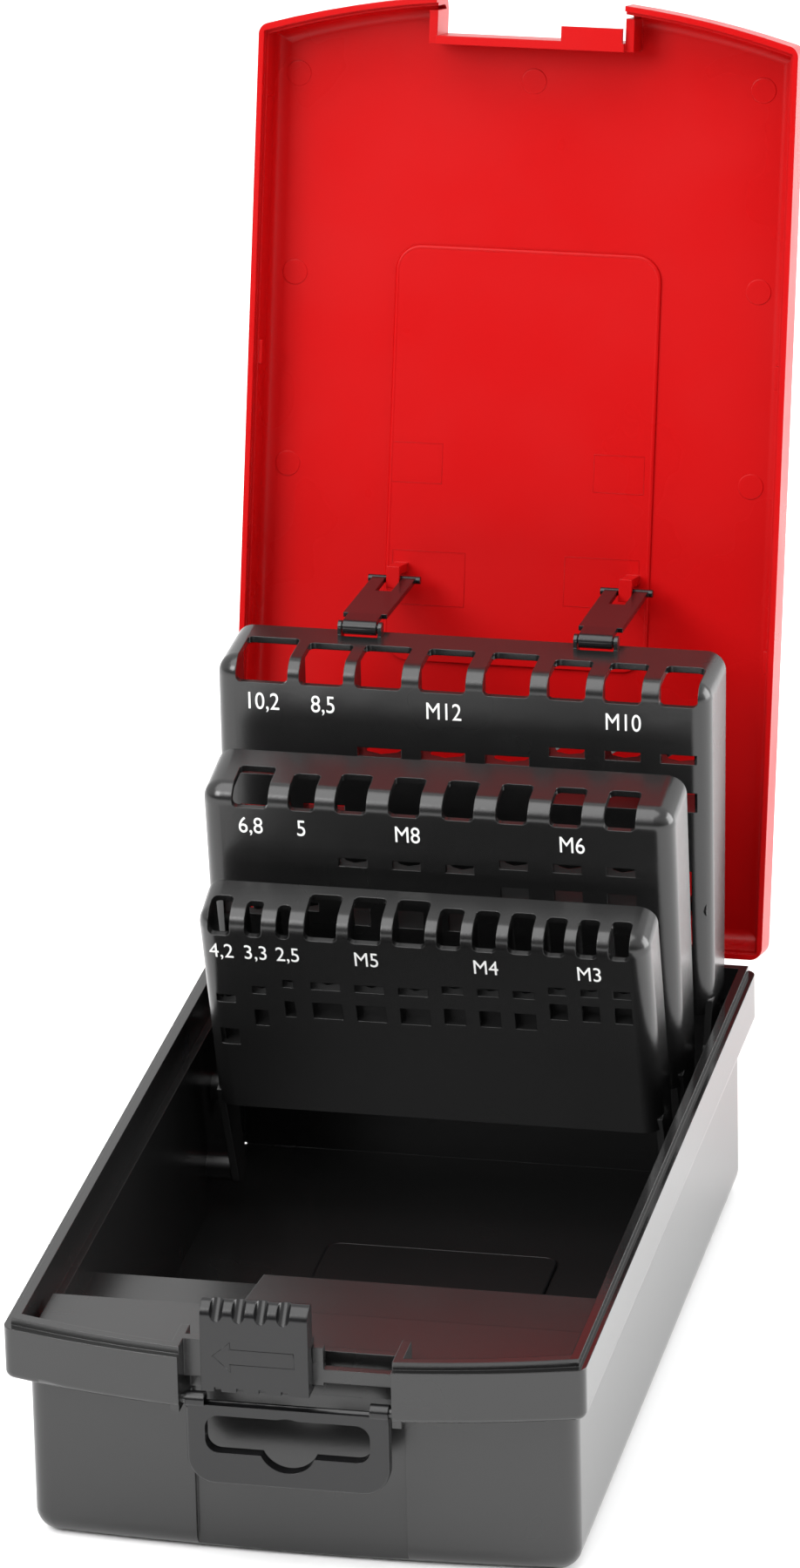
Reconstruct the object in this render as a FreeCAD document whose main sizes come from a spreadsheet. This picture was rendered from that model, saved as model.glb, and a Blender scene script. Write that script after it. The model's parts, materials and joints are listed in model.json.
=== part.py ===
"""Hinged-lid case for taps and tap drills, as a parametric FreeCAD document.

Frame: +Z up, origin at the middle of the base's underside, halfway along the collar's sides.
X runs across the case, Y from the latch to the lid hinge.  Places are measured from the
collar's front corners and carried to that origin at the end.  The case is modelled open:
lid back on its stop, three banks of slots raised, latch slid open.

Each bank is drawn upright in its own frame, with its pivot at the origin, local Y behind the
face and local Z up the face, and is then leaned and carried to its pivot by its Placement.
The lid is drawn closed, with the hinge axis at its origin, and is turned open the same way.
"""
import FreeCAD, Part
import math
import os
import Sketcher

Vector = FreeCAD.Vector

doc = FreeCAD.newDocument("TapAndDrillCase")
sheet = doc.addObject("Spreadsheet::Sheet", "Sizes")

# ---------------------------------------------------------------- driving dimensions (mm, deg)
DRIVING = {
    # collar, the wide band round the top of the base
    "case_width": 115.0,
    "case_depth": 191.8,
    "rim_height": 48.0,
    "collar_tall": 11.0,
    "collar_overhang": 3.0,
    "collar_corner": 2.5,
    "collar_edge": 1.5,
    "front_bow": 8.5,
    "lip_rise": 1.6,
    "lip_inset": 1.45,
    "lip_wall": 1.75,
    "rebate_drop": 6.6,
    # tub below the collar
    "front_setback": 6.2,
    "tub_bow": 2.5,
    "tub_corner": 4.0,
    "tub_bottom_edge": 5.0,
    "tub_wall": 1.8,
    "floor_thick": 2.0,
    "panel_half": 21.0,
    "panel_recess": 1.75,
    # trays at the front of the tub
    "strip_drop": 2.4,
    "strip_back": 21.2,
    "step_drop": 13.6,
    "step_back": 54.5,
    "deck_drop": 3.1,
    "deck_back": 37.7,
    "insert_gap": 0.2,
    "deck_left": 14.0,
    "deck_slant": 5.0,
    "tray_skin": 1.8,
    # raised field of the floor and the hole in the right wall
    "field_half": 24.3,
    "field_back": 141.0,
    "field_rise": 0.5,
    "field_corner": 3.0,
    "wall_hole_ahead": 8.0,
    "wall_hole_drop": 14.4,
    "wall_hole_wide": 3.4,
    "wall_hole_tall": 4.4,
    # lid
    "lid_depth": 13.2,
    "lid_wall": 1.8,
    "lid_gap": 0.2,
    "lid_rebate_wall": 1.15,
    "lid_rebate_tall": 1.8,
    "lid_corner": 2.5,
    "lid_edge": 4.0,
    "lid_inner_edge": 3.0,
    "lid_open": 105.6,
    "notch_left": 19.5,
    "notch_right": 20.6,
    "notch_back": 0.5,
    "tongue_left": 7.2,
    "tongue_right": 20.2,
    "tongue_reach": 3.1,
    "tongue_thick": 1.4,
    "label_half": 28.0,
    "label_near": 58.0,
    "label_far": 146.0,
    "label_rise": 0.6,
    "label_corner": 5.0,
    "bead_wide": 5.0,
    "bead_tall": 2.5,
    "bead_rise": 0.7,
    "bead_near": 60.3,
    "bead_far": 120.3,
    # lid hinge
    "hinge_back": 2.8,
    "hinge_drop": 2.4,
    "knuckle_radius": 2.3,
    "hinge_pin_radius": 1.0,
    "hinge_half": 44.0,
    "lid_knuckle_wide": 14.0,
    "running_fit": 0.08,
    "side_gap": 0.3,
    # banks, counted from the back: room at the sides, lean, pivot, pivot to face, top, depths
    "rear_side_room": 0.7,
    "rear_lean": 0.0,
    "rear_pivot_ahead": 25.1,
    "rear_pivot_drop": 9.1,
    "rear_face": 0.0,
    "rear_top": 81.8,
    "rear_brow_drop": 4.8,
    "rear_bottom": 8.0,
    "rear_depth_top": 20.0,
    "rear_depth_low": 14.5,
    "middle_side_room": 3.45,
    "middle_lean": 7.4,
    "middle_pivot_ahead": 34.9,
    "middle_pivot_drop": 20.1,
    "middle_face": 8.6,
    "middle_top": 77.5,
    "middle_brow_drop": 4.2,
    "middle_bottom": 12.0,
    "middle_depth_top": 16.6,
    "middle_depth_low": 15.0,
    "front_side_room": 5.7,
    "front_lean": 16.4,
    "front_pivot_ahead": 41.5,
    "front_pivot_drop": 35.5,
    "front_face": 8.0,
    "front_top": 75.2,
    "front_brow_drop": 4.8,
    "front_bottom": 24.3,
    "front_depth_top": 12.0,
    "front_depth_low": 11.0,
    "bank_skin": 1.4,
    "cheek": 1.6,
    "bank_edge": 4.0,
    "slot_behind": 2.5,
    "slot_corner": 1.2,
    "shelf_reach": 9.5,
    "rib_thick": 1.1,
    "arm_radius": 3.4,
    "pivot_pin_radius": 1.5,
    "boss_radius": 3.0,
    "boss_gap": 0.35,
    # slots: widths by tool
    "slot_drill_10_2": 11.0,
    "slot_drill_8_5": 9.4,
    "slot_drill_6_8": 7.6,
    "slot_drill_5": 5.6,
    "slot_drill_4_2": 4.6,
    "slot_drill_3_3": 3.5,
    "slot_drill_2_5": 2.75,
    "slot_tap_12": 9.9,
    "slot_tap_10": 8.1,
    "slot_tap_8": 6.6,
    "slot_tap_6": 6.6,
    "slot_tap_5": 6.8,
    "slot_tap_4": 5.0,
    "slot_tap_3": 4.3,
    "rear_slots_in": 4.3,
    "rear_drill_gap": 2.4,
    "rear_slots_out": 2.5,
    "middle_slots_in": 6.55,
    "middle_drill_gap": 4.2,
    "middle_slots_out": 7.75,
    "front_slots_in": 2.4,
    "front_drill_gap": 3.1,
    "front_slots_out": 3.95,
    # windows in the faces, below the slots: the guide shelf's, then the stop shelf's
    "guide_tall": 2.0,
    "stop_tall": 4.2,
    "shelf_thick": 1.2,
    "guide_drill_10_2": 18.5,
    "guide_drill_8_5": 17.0,
    "guide_drill_6_8": 23.2,
    "guide_drill_5": 21.7,
    "guide_drill_4_2": 15.9,
    "guide_drill_3_3": 13.1,
    "guide_drill_2_5": 10.9,
    "guide_tap_12": 13.1,
    "guide_tap_10": 10.6,
    "guide_tap_8": 10.5,
    "guide_tap_6": 8.8,
    "guide_tap_5": 11.0,
    "guide_tap_4": 9.8,
    "guide_tap_3": 8.2,
    "stop_drill_10_2": 27.5,
    "stop_drill_8_5": 26.5,
    "stop_drill_6_8": 35.0,
    "stop_drill_5": 32.0,
    "stop_drill_4_2": 25.0,
    "stop_drill_3_3": 19.4,
    "stop_drill_2_5": 16.6,
    "stop_tap_12": 31.6,
    "stop_tap_10": 19.0,
    "stop_tap_8": 22.2,
    "stop_tap_6": 15.0,
    "stop_tap_5": 16.5,
    "stop_tap_4": 15.8,
    "stop_tap_3": 12.6,
    # links between the banks
    "link_thick": 1.4,
    "link_radius": 2.2,
    "link_pin_radius": 1.0,
    "link_play": 0.9,
    "link_gap": 0.3,
    "link_window_below": 8.0,
    "link_window_above": 9.0,
    "front_link_back": 8.25,
    "front_link_up": 47.25,
    "middle_hinge_back": 5.14,
    "middle_hinge_up": 42.53,
    "middle_link_back": 14.27,
    "middle_link_up": 33.55,
    "rear_hinge_back": 2.9,
    "rear_hinge_up": 31.47,
    # straps from the lid to the rear bank
    "strap_from_middle": 25.0,
    "strap_width": 9.3,
    "strap_thick": 1.0,
    "strap_window_side": 0.35,
    "strap_window": 11.5,
    "strap_bar_radius": 0.8,
    "strap_bar_wide": 11.2,
    "strap_clip_radius": 1.6,
    "strap_rod_radius": 0.8,
    "strap_ear_thick": 0.8,
    "strap_ear_radius": 1.3,
    "strap_neck": 4.6,
    "strap_rod_back": 18.4,
    "strap_rod_above": 1.4,
    "hook_from_hinge": 75.9,
    "hook_inside": 4.0,
    "hook_width": 2.8,
    "hook_thick": 1.8,
    "hook_lip": 1.2,
    "hook_reach": 1.8,
    # latch
    "bar_setback": 6.5,
    "bar_thick": 2.0,
    "bar_tall": 8.0,
    "bar_low_tall": 2.8,
    "bar_low_top": 4.6,
    "bar_step": 6.6,
    "well_width": 3.0,
    "well_wall_drop": 1.4,
    "slider_left": 16.7,
    "slider_width": 21.2,
    "slider_tall": 18.6,
    "slider_front": 3.9,
    "slider_depth": 4.2,
    "slider_below": 0.7,
    "slider_gap": 0.3,
    "slider_hook": 1.2,
    "slider_leg": 4.0,
    "slider_round": 3.2,
    "slider_back_round": 1.2,
    "groove_radius": 1.3,
    "groove_first": 3.2,
    "groove_pitch": 4.4,
    # hanging loop
    "loop_width": 40.0,
    "loop_arm": 3.7,
    "loop_thick": 2.6,
    "loop_drop": 9.9,
    "loop_pivot_y": -4.6,
    "loop_reach": 17.5,
    "loop_bar_drop": 0.6,
    "loop_bar_tall": 2.1,
    "loop_slot_tall": 8.0,
    "loop_slot_corner": 2.8,
    "loop_slot_bump": 3.4,
    "loop_bump_wide": 11.7,
    "loop_corner": 5.5,
    "loop_edge": 0.7,
    "loop_pin_radius": 1.0,
}
for row, (name, value) in enumerate(DRIVING.items(), start=1):
    sheet.set(f"A{row}", name)
    sheet.set(f"B{row}", str(value))
    sheet.setAlias(f"B{row}", name)
doc.recompute()


# ---------------------------------------------------------------- sizes as values and expressions
class Size:
    """A length or an angle that knows both its value and the expression it comes from."""

    def __init__(self, value, text):
        self.value = float(value)
        self.text = text

    @staticmethod
    def of(other):
        return other if isinstance(other, Size) else Size(other, f"{other:.6g}")

    def join(self, other, sign, value):
        return Size(value, f"({self.text} {sign} {Size.of(other).text})")

    def __add__(self, other):
        return self.join(other, "+", self.value + Size.of(other).value)

    def __sub__(self, other):
        return self.join(other, "-", self.value - Size.of(other).value)

    def __mul__(self, other):
        return self.join(other, "*", self.value * Size.of(other).value)

    def __truediv__(self, other):
        return self.join(other, "/", self.value / Size.of(other).value)

    def __radd__(self, other):
        return Size.of(other) + self

    def __rsub__(self, other):
        return Size.of(other) - self

    def __rmul__(self, other):
        return Size.of(other) * self

    def __neg__(self):
        return Size(-self.value, f"(-{self.text})")


class Sizes:
    """The driving dimensions, by name."""

    def __getattr__(self, name):
        return Size(DRIVING[name], f"Sizes.{name}")


S = Sizes()
ZERO = Size(0.0, "0")
# How far a cutter stands past what it cuts, and how far a piece reaches into what carries it.
OVER = Size(1.0, "1")
SUNK = Size(0.5, "0.5")
# Places closer than this are the same place.
NEAR = 0.01


def bind(target, path, size):
    """Tie one property of an object to an expression of the sheet."""
    target.setExpression(path, Size.of(size).text)


# ---------------------------------------------------------------- PartDesign helpers
def new_body(name):
    """An empty PartDesign body."""
    return doc.addObject("PartDesign::Body", name)


def new_sketch(body, role, name, shift=ZERO):
    """A sketch on one of the body's own origin planes, shifted along the plane's normal."""
    plane = [item for item in body.Origin.OriginFeatures if item.Role == role][0]
    sketch = body.newObject("Sketcher::SketchObject", name)
    sketch.AttachmentSupport = (plane, "")
    sketch.MapMode = "FlatFace"
    sketch.AttachmentOffset = FreeCAD.Placement(Vector(0, 0, Size.of(shift).value), FreeCAD.Rotation())
    bind(sketch, "AttachmentOffset.Base.z", shift)
    return sketch


def place_point(sketch, edge, end, point):
    """Fix one end of an edge at an expression-driven place."""
    for kind, coordinate in (("DistanceX", point[0]), ("DistanceY", point[1])):
        size = Size.of(coordinate)
        index = sketch.addConstraint(Sketcher.Constraint(kind, edge, end, size.value))
        bind(sketch, f"Constraints[{index}]", size)


def outline(sketch, points, bows=None):
    """A closed outline through the points; bows maps an edge's index to its radius.

    A positive radius bulges to the right of the direction of travel.
    """
    bows = bows or {}
    count = len(points)
    spots = [Vector(Size.of(x).value, Size.of(y).value, 0) for x, y in points]
    edges = []
    for index in range(count):
        start, end = spots[index], spots[(index + 1) % count]
        if index in bows:
            edges.append(sketch.addGeometry(bowed_arc(start, end, bows[index].value)))
        else:
            edges.append(sketch.addGeometry(Part.LineSegment(start, end)))
    for index in range(count):
        if index in bows:
            continue
        place_point(sketch, edges[index], 1, points[index])
        if (index + 1) % count in bows:
            place_point(sketch, edges[index], 2, points[(index + 1) % count])
        else:
            follower = edges[(index + 1) % count]
            sketch.addConstraint(Sketcher.Constraint("Coincident", edges[index], 2, follower, 1))
    for index, radius in bows.items():
        before, after = edges[index - 1], edges[(index + 1) % count]
        start_of_arc, end_of_arc = (1, 2) if radius.value > 0 else (2, 1)
        sketch.addConstraint(Sketcher.Constraint("Coincident", before, 2, edges[index], start_of_arc))
        sketch.addConstraint(Sketcher.Constraint("Coincident", edges[index], end_of_arc, after, 1))
        number = sketch.addConstraint(Sketcher.Constraint("Radius", edges[index], abs(radius.value)))
        bind(sketch, f"Constraints[{number}]", radius if radius.value > 0 else -radius)


def bowed_arc(start, end, radius):
    """The short arc of a signed radius from one point to another."""
    chord = end - start
    middle = (start + end) * 0.5
    across = Vector(-chord.y, chord.x, 0).normalize()
    rise = math.sqrt(radius**2 - (chord.Length / 2) ** 2)
    centre = middle + across * (rise if radius > 0 else -rise)
    crown = centre + (middle - centre).normalize() * abs(radius)
    return Part.Arc(start, crown, end)


def ring(sketch, x, y, radius):
    """A full circle in a sketch."""
    edge = sketch.addGeometry(Part.Circle(Vector(Size.of(x).value, Size.of(y).value, 0),
                                          Vector(0, 0, 1), Size.of(radius).value))
    place_point(sketch, edge, 3, (x, y))
    index = sketch.addConstraint(Sketcher.Constraint("Radius", edge, Size.of(radius).value))
    bind(sketch, f"Constraints[{index}]", radius)


def pad(body, sketch, length, name, feature="PartDesign::Pad"):
    """Pad or pocket a sketch by a length along its own normal."""
    item = body.newObject(feature, name)
    item.Profile = sketch
    item.Length = Size.of(length).value
    bind(item, "Length", length)
    return item


def pocket(body, sketch, length, name, upward=True):
    """Cut a sketch away; upward cuts along the sketch's normal."""
    item = pad(body, sketch, length, name, "PartDesign::Pocket")
    item.Reversed = upward
    doc.recompute()
    return item


def soften(body, name, radius, chosen):
    """Round the edges of the body's tip that the test picks."""
    doc.recompute()
    tip = body.Tip
    edges = [f"Edge{n}" for n, edge in enumerate(tip.Shape.Edges, start=1) if chosen(edge)]
    item = body.newObject("PartDesign::Fillet", name)
    item.Base = (tip, edges)
    item.Radius = Size.of(radius).value
    bind(item, "Radius", radius)
    tip.Visibility = False
    doc.recompute()
    return item


def runs_along(edge, axis):
    """True for a straight edge parallel to the axis."""
    box = edge.BoundBox
    lengths = Vector(box.XLength, box.YLength, box.ZLength)
    along = lengths.dot(axis)
    return along > 0.01 and (lengths - axis * along).Length < 0.001


X, Y, Z = Vector(1, 0, 0), Vector(0, 1, 0), Vector(0, 0, 1)


# ---------------------------------------------------------------- Part helpers
def block(name, x, y, z):
    """A box from three pairs of limits."""
    item = doc.addObject("Part::Box", name)
    sides = (("Length", x), ("Width", y), ("Height", z))
    for side, (low, high) in sides:
        length = Size.of(high) - Size.of(low)
        setattr(item, side, length.value)
        bind(item, side, length)
    lows = [Size.of(low) for low, _ in (x, y, z)]
    item.Placement.Base = Vector(*[low.value for low in lows])
    for axis, low in zip("xyz", lows):
        bind(item, f"Placement.Base.{axis}", low)
    return item


def rounded(item, axis, radius):
    """Round a block's four edges that run along an axis."""
    doc.recompute()
    fillet = doc.addObject("Part::Fillet", item.Name + "Rounded")
    fillet.Base = item
    value = Size.of(radius).value
    fillet.Edges = [(n, value, value) for n, edge in enumerate(item.Shape.Edges, start=1)
                    if runs_along(edge, axis)]
    return fillet


def rod(name, radius, x, y, z):
    """A cylinder along X between two limits."""
    item = doc.addObject("Part::Cylinder", name)
    item.Placement = FreeCAD.Placement(Vector(), FreeCAD.Rotation(Y, 90))
    length = Size.of(x[1]) - Size.of(x[0])
    item.Radius = Size.of(radius).value
    item.Height = length.value
    bind(item, "Radius", radius)
    bind(item, "Height", length)
    for axis, low in zip("xyz", (x[0], y, z)):
        bind(item, f"Placement.Base.{axis}", low)
    return item


def join(name, base, *others):
    """Fuse solids into one."""
    item = doc.addObject("Part::MultiFuse", name)
    item.Shapes = [base, *others]
    item.Refine = True
    return item


def cut(name, base, *tools):
    """Cut one or more solids away from another."""
    item = doc.addObject("Part::Cut", name)
    item.Base = base
    if len(tools) == 1:
        item.Tool = tools[0]
    else:
        item.Tool = doc.addObject("Part::MultiFuse", name + "Tools")
        item.Tool.Shapes = list(tools)
        item.Tool.Refine = False
    return item


NODES = []


def finish(item, node, y=None, z=None, angle=None):
    """Name a finished sub-part, turn it about X and carry it to its place in the case."""
    y, z, angle = y or ZERO, z or ZERO, angle or ZERO
    y = y - S.case_depth / 2
    item.Placement = FreeCAD.Placement(Vector(0, y.value, z.value), FreeCAD.Rotation(X, angle.value))
    bind(item, "Placement.Base.y", y)
    bind(item, "Placement.Base.z", z)
    bind(item, "Placement.Rotation.Angle", angle)
    item.Label = node
    NODES.append(item)
    return item


# ---------------------------------------------------------------- shared places
half_case = S.case_width / 2
tub_half = half_case - S.collar_overhang
inner_half = tub_half - S.tub_wall
tub_back = S.case_depth - S.collar_overhang
inner_back = tub_back - S.tub_wall
inner_front = S.front_setback + S.tub_wall + S.insert_gap
collar_low = S.rim_height - S.collar_tall
lip_top = S.rim_height + S.lip_rise
lip_inner_half = half_case - S.lip_inset - S.lip_wall
hinge_y = S.case_depth + S.hinge_back
hinge_z = S.rim_height - S.hinge_drop
bar_front = S.bar_setback - S.front_bow
bar_back = bar_front + S.bar_thick
bar_top = lip_top
bar_low = bar_top - S.bar_tall
well_back = bar_back + S.well_width
opening_half = S.panel_half
rebate_floor = S.rim_height - S.rebate_drop
strip_top = S.rim_height - S.strip_drop
step_top = S.rim_height - S.step_drop
deck_top = S.rim_height - S.deck_drop
loop_pivot_z = S.rim_height - S.loop_drop
strap_rod_up = S.rear_top + S.strap_rod_above


def bow_radius(half, rise):
    """Radius of an arc whose half chord and rise are known."""
    return (half * half + rise * rise) / (2 * rise)


# ---------------------------------------------------------------- base
def front_outline(sketch, half, front, back, rise):
    """A rectangle in plan whose front side bows forward."""
    points = [(-half, front), (half, front), (half, back), (-half, back)]
    outline(sketch, points, {0: bow_radius(half, rise)})


def base_tub():
    """Tub and collar as one block with rounded corners, and the lip on top."""
    body = new_body("BaseTub")
    sketch = new_sketch(body, "XY_Plane", "TubPlan")
    front_outline(sketch, tub_half, S.front_setback, tub_back, S.tub_bow)
    pad(body, sketch, S.rim_height, "TubBlock")
    soften(body, "TubCorners", S.tub_corner, lambda edge: runs_along(edge, Z))
    soften(body, "TubBottomEdge", S.tub_bottom_edge,
           lambda edge: edge.BoundBox.ZMax < NEAR)
    sketch = new_sketch(body, "XY_Plane", "CollarPlan", collar_low)
    front_outline(sketch, half_case, ZERO, S.case_depth, S.front_bow)
    pad(body, sketch, S.collar_tall, "Collar")
    limit = half_case.value - NEAR
    soften(body, "CollarCorners", S.collar_corner,
           lambda edge: runs_along(edge, Z) and abs(edge.BoundBox.XMin) > limit)
    low = collar_low.value
    outer = (half_case - S.collar_overhang * 0.8).value
    rear = (S.case_depth / 2).value
    soften(body, "CollarLowerEdge", S.collar_edge,
           lambda edge: abs(edge.BoundBox.ZMin - low) < NEAR and abs(edge.BoundBox.ZMax - low) < NEAR
           and max(edge.BoundBox.XMax, -edge.BoundBox.XMin) > outer and edge.BoundBox.YMin < rear)
    sketch = new_sketch(body, "XY_Plane", "LipPlan", S.rim_height)
    lip_half = half_case - S.lip_inset
    front_outline(sketch, lip_half, S.lip_inset, S.case_depth - S.lip_inset, S.front_bow)
    pad(body, sketch, S.lip_rise, "Lip")
    return body


def base_room():
    """The room inside: hollow and rebate, less the trays and the raised field of the floor."""
    rebate = new_body("Rebate")
    sketch = new_sketch(rebate, "XY_Plane", "RebatePlan", rebate_floor)
    front_outline(sketch, lip_inner_half, S.lip_inset + S.lip_wall,
                  S.case_depth - S.lip_inset - S.lip_wall, S.front_bow)
    pad(rebate, sketch, lip_top - rebate_floor + OVER, "RebateBlock")
    hollow = block("Hollow", (-inner_half, inner_half), (inner_front, inner_back),
                   (S.floor_thick, lip_top + OVER))
    before = -S.front_bow - OVER
    strip = block("TrayStrip", (-inner_half, inner_half), (before, S.strip_back), (ZERO, strip_top))
    step = block("TrayStep", (-inner_half, inner_half), (before, S.step_back), (ZERO, step_top))
    deck = new_body("TrayDeck")
    sketch = new_sketch(deck, "XY_Plane", "DeckPlan")
    outline(sketch, [(-S.deck_left - S.deck_slant, before), (inner_half, before),
                     (inner_half, S.deck_back), (-S.deck_left, S.deck_back)])
    pad(deck, sketch, deck_top, "DeckBlock")
    field = rounded(block("FloorField", (-S.field_half, S.field_half), (S.step_back - OVER, S.field_back),
                          (ZERO, S.floor_thick + S.field_rise)), Z, S.field_corner)
    return cut("BaseRoom", join("RoomWhole", rebate, hollow), strip, step, deck, field)


def base_case():
    """The whole base: tub, trays, latch bar, hinge rail, pivots and hanger lugs."""
    skin = S.tray_skin
    under = [
        block("UnderStrip", (-inner_half + skin, inner_half - skin),
              (inner_front + skin, S.strip_back - skin), (-OVER, strip_top - skin - 0.7)),
        block("UnderStep", (-inner_half + skin, inner_half - skin),
              (inner_front + skin, S.step_back - skin), (-OVER, step_top - skin)),
        block("UnderDeck", (-S.deck_left + skin, inner_half - skin),
              (inner_front + skin, S.deck_back - skin), (-OVER, deck_top - skin)),
    ]
    panel = block("PanelRecess", (-S.panel_half, S.panel_half),
                  (-S.front_bow, S.front_setback - S.tub_bow + S.panel_recess), (-OVER, collar_low + NEAR))
    opening = block("LatchOpening", (-opening_half, opening_half), (-S.front_bow - OVER, well_back),
                    (collar_low - OVER, lip_top + OVER))
    hole_y = S.case_depth - S.wall_hole_ahead
    hole_z = S.rim_height - S.wall_hole_drop
    hole = rounded(block("WallHole", (inner_half - OVER, half_case),
                         (hole_y - S.wall_hole_wide / 2, hole_y + S.wall_hole_wide / 2),
                         (hole_z - S.wall_hole_tall / 2, hole_z + S.wall_hole_tall / 2)), X, S.slot_corner)
    shaped = cut("BaseShaped", base_tub(), base_room(), *under, panel, opening, hole)
    parts = [shaped, *latch_frame(), *hinge_rail(), *bank_pivots(), *loop_lugs()]
    return finish(join("BaseCase", *parts), "base_case")


def largest(choices):
    """The size with the largest value."""
    return max(choices, key=lambda choice: choice.value)


def smallest(choices):
    """The size with the smallest value."""
    return min(choices, key=lambda choice: choice.value)


def latch_frame():
    """The latch's bar with its low part, the walls at its ends and the wall behind the well."""
    wall = S.tub_wall
    ends = (-opening_half - wall / 2, opening_half + wall / 2)
    bar = block("LatchBar", ends, (bar_front, bar_back), (bar_low, bar_top))
    low_top = bar_top - S.bar_low_top
    low_part, through = (S.bar_step, opening_half), (bar_front - OVER, bar_back + OVER)
    over = block("LowBarOver", low_part, through, (low_top, bar_top + OVER))
    under = block("LowBarUnder", low_part, through, (bar_low - OVER, low_top - S.bar_low_tall))
    back_wall = block("WellBackWall", ends, (well_back, well_back + wall),
                      (rebate_floor - OVER, S.rim_height - S.well_wall_drop))
    lip_front = S.lip_inset + S.lip_wall / 2 - bow_at(opening_half)
    ends = [block("LipReturn" + where, sided((opening_half, opening_half + wall), side),
                  (lip_front, well_back + OVER), (rebate_floor - OVER, lip_top))
            for side, where in ((-1, "Left"), (1, "Right"))]
    return [cut("LatchBarStepped", bar, over, under), back_wall, *ends]


def bow_at(x):
    """How far the collar's front stands forward of its corners at a distance from the middle."""
    return S.front_bow * (1 - x * x / (half_case * half_case))


def lid_knuckle_places():
    """X limits of the lid's hinge knuckles; the base's knuckles fill the spaces."""
    return [(-S.hinge_half + S.lid_knuckle_wide, -S.hinge_half + 2 * S.lid_knuckle_wide),
            (S.hinge_half - 2 * S.lid_knuckle_wide, S.hinge_half - S.lid_knuckle_wide)]


def hinge_rail():
    """Knuckles of the base along the lid hinge, on lugs from the collar's back."""
    left, right = lid_knuckle_places()
    spans = [(-S.hinge_half, left[0] - S.side_gap), (left[1] + S.side_gap, right[0] - S.side_gap),
             (right[1] + S.side_gap, S.hinge_half)]
    items = []
    for number, span in enumerate(spans, start=1):
        barrel = rod(f"RailKnuckle{number}", S.knuckle_radius, span, hinge_y, hinge_z)
        web = block(f"RailWeb{number}", span, (S.case_depth - OVER, hinge_y),
                    (hinge_z - S.knuckle_radius, hinge_z))
        bore = rod(f"RailBore{number}", S.hinge_pin_radius, (span[0] - OVER, span[1] + OVER),
                   hinge_y, hinge_z)
        items.append(cut(f"Rail{number}", join(f"RailSolid{number}", barrel, web), bore))
    return items


def bank_pivots():
    """Bosses and stub pins on the side walls, one pair for each bank."""
    items = []
    for bank in ("rear", "middle", "front"):
        y, z = pivot(bank)
        outer = bank_half(bank)
        for side in (-1, 1):
            name = f"{bank.title()}Pivot{'Left' if side < 0 else 'Right'}"
            boss = (outer + S.boss_gap, inner_half + SUNK)
            stub = (outer - S.cheek, inner_half + SUNK)
            items.append(rod(name + "Boss", S.boss_radius, sided(boss, side), y, z))
            items.append(rod(name + "Pin", S.pivot_pin_radius, sided(stub, side), y, z))
    return items


def sided(span, side):
    """Mirror a pair of X limits to the left side."""
    return span if side > 0 else (-span[1], -span[0])


def size(bank, what):
    """One of a bank's own sizes, or a slot's."""
    return getattr(S, f"{bank}_{what}")


def pivot(bank):
    """Y and Z of a bank's pivot, set from the lid's hinge and the rim."""
    return hinge_y - size(bank, "pivot_ahead"), S.rim_height - size(bank, "pivot_drop")


def bank_half(bank):
    """Half a bank's width: what the tub's wall leaves."""
    return inner_half - size(bank, "side_room")


def loop_lugs():
    """Lugs beside the latch opening with the hanging loop's stub pins."""
    items = []
    for side in (-1, 1):
        name = "LoopLug" + ("Left" if side < 0 else "Right")
        lug = block(name, sided((opening_half, opening_half + 1.8), side),
                    (S.loop_pivot_y - 2.4, S.front_setback), (loop_pivot_z - 2, collar_low + OVER))
        pin = rod(name + "Pin", S.loop_pin_radius,
                  sided((S.loop_width / 2 - S.loop_arm + 0.6, opening_half + OVER), side),
                  S.loop_pivot_y, loop_pivot_z)
        items += [lug, pin]
    return items


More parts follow.
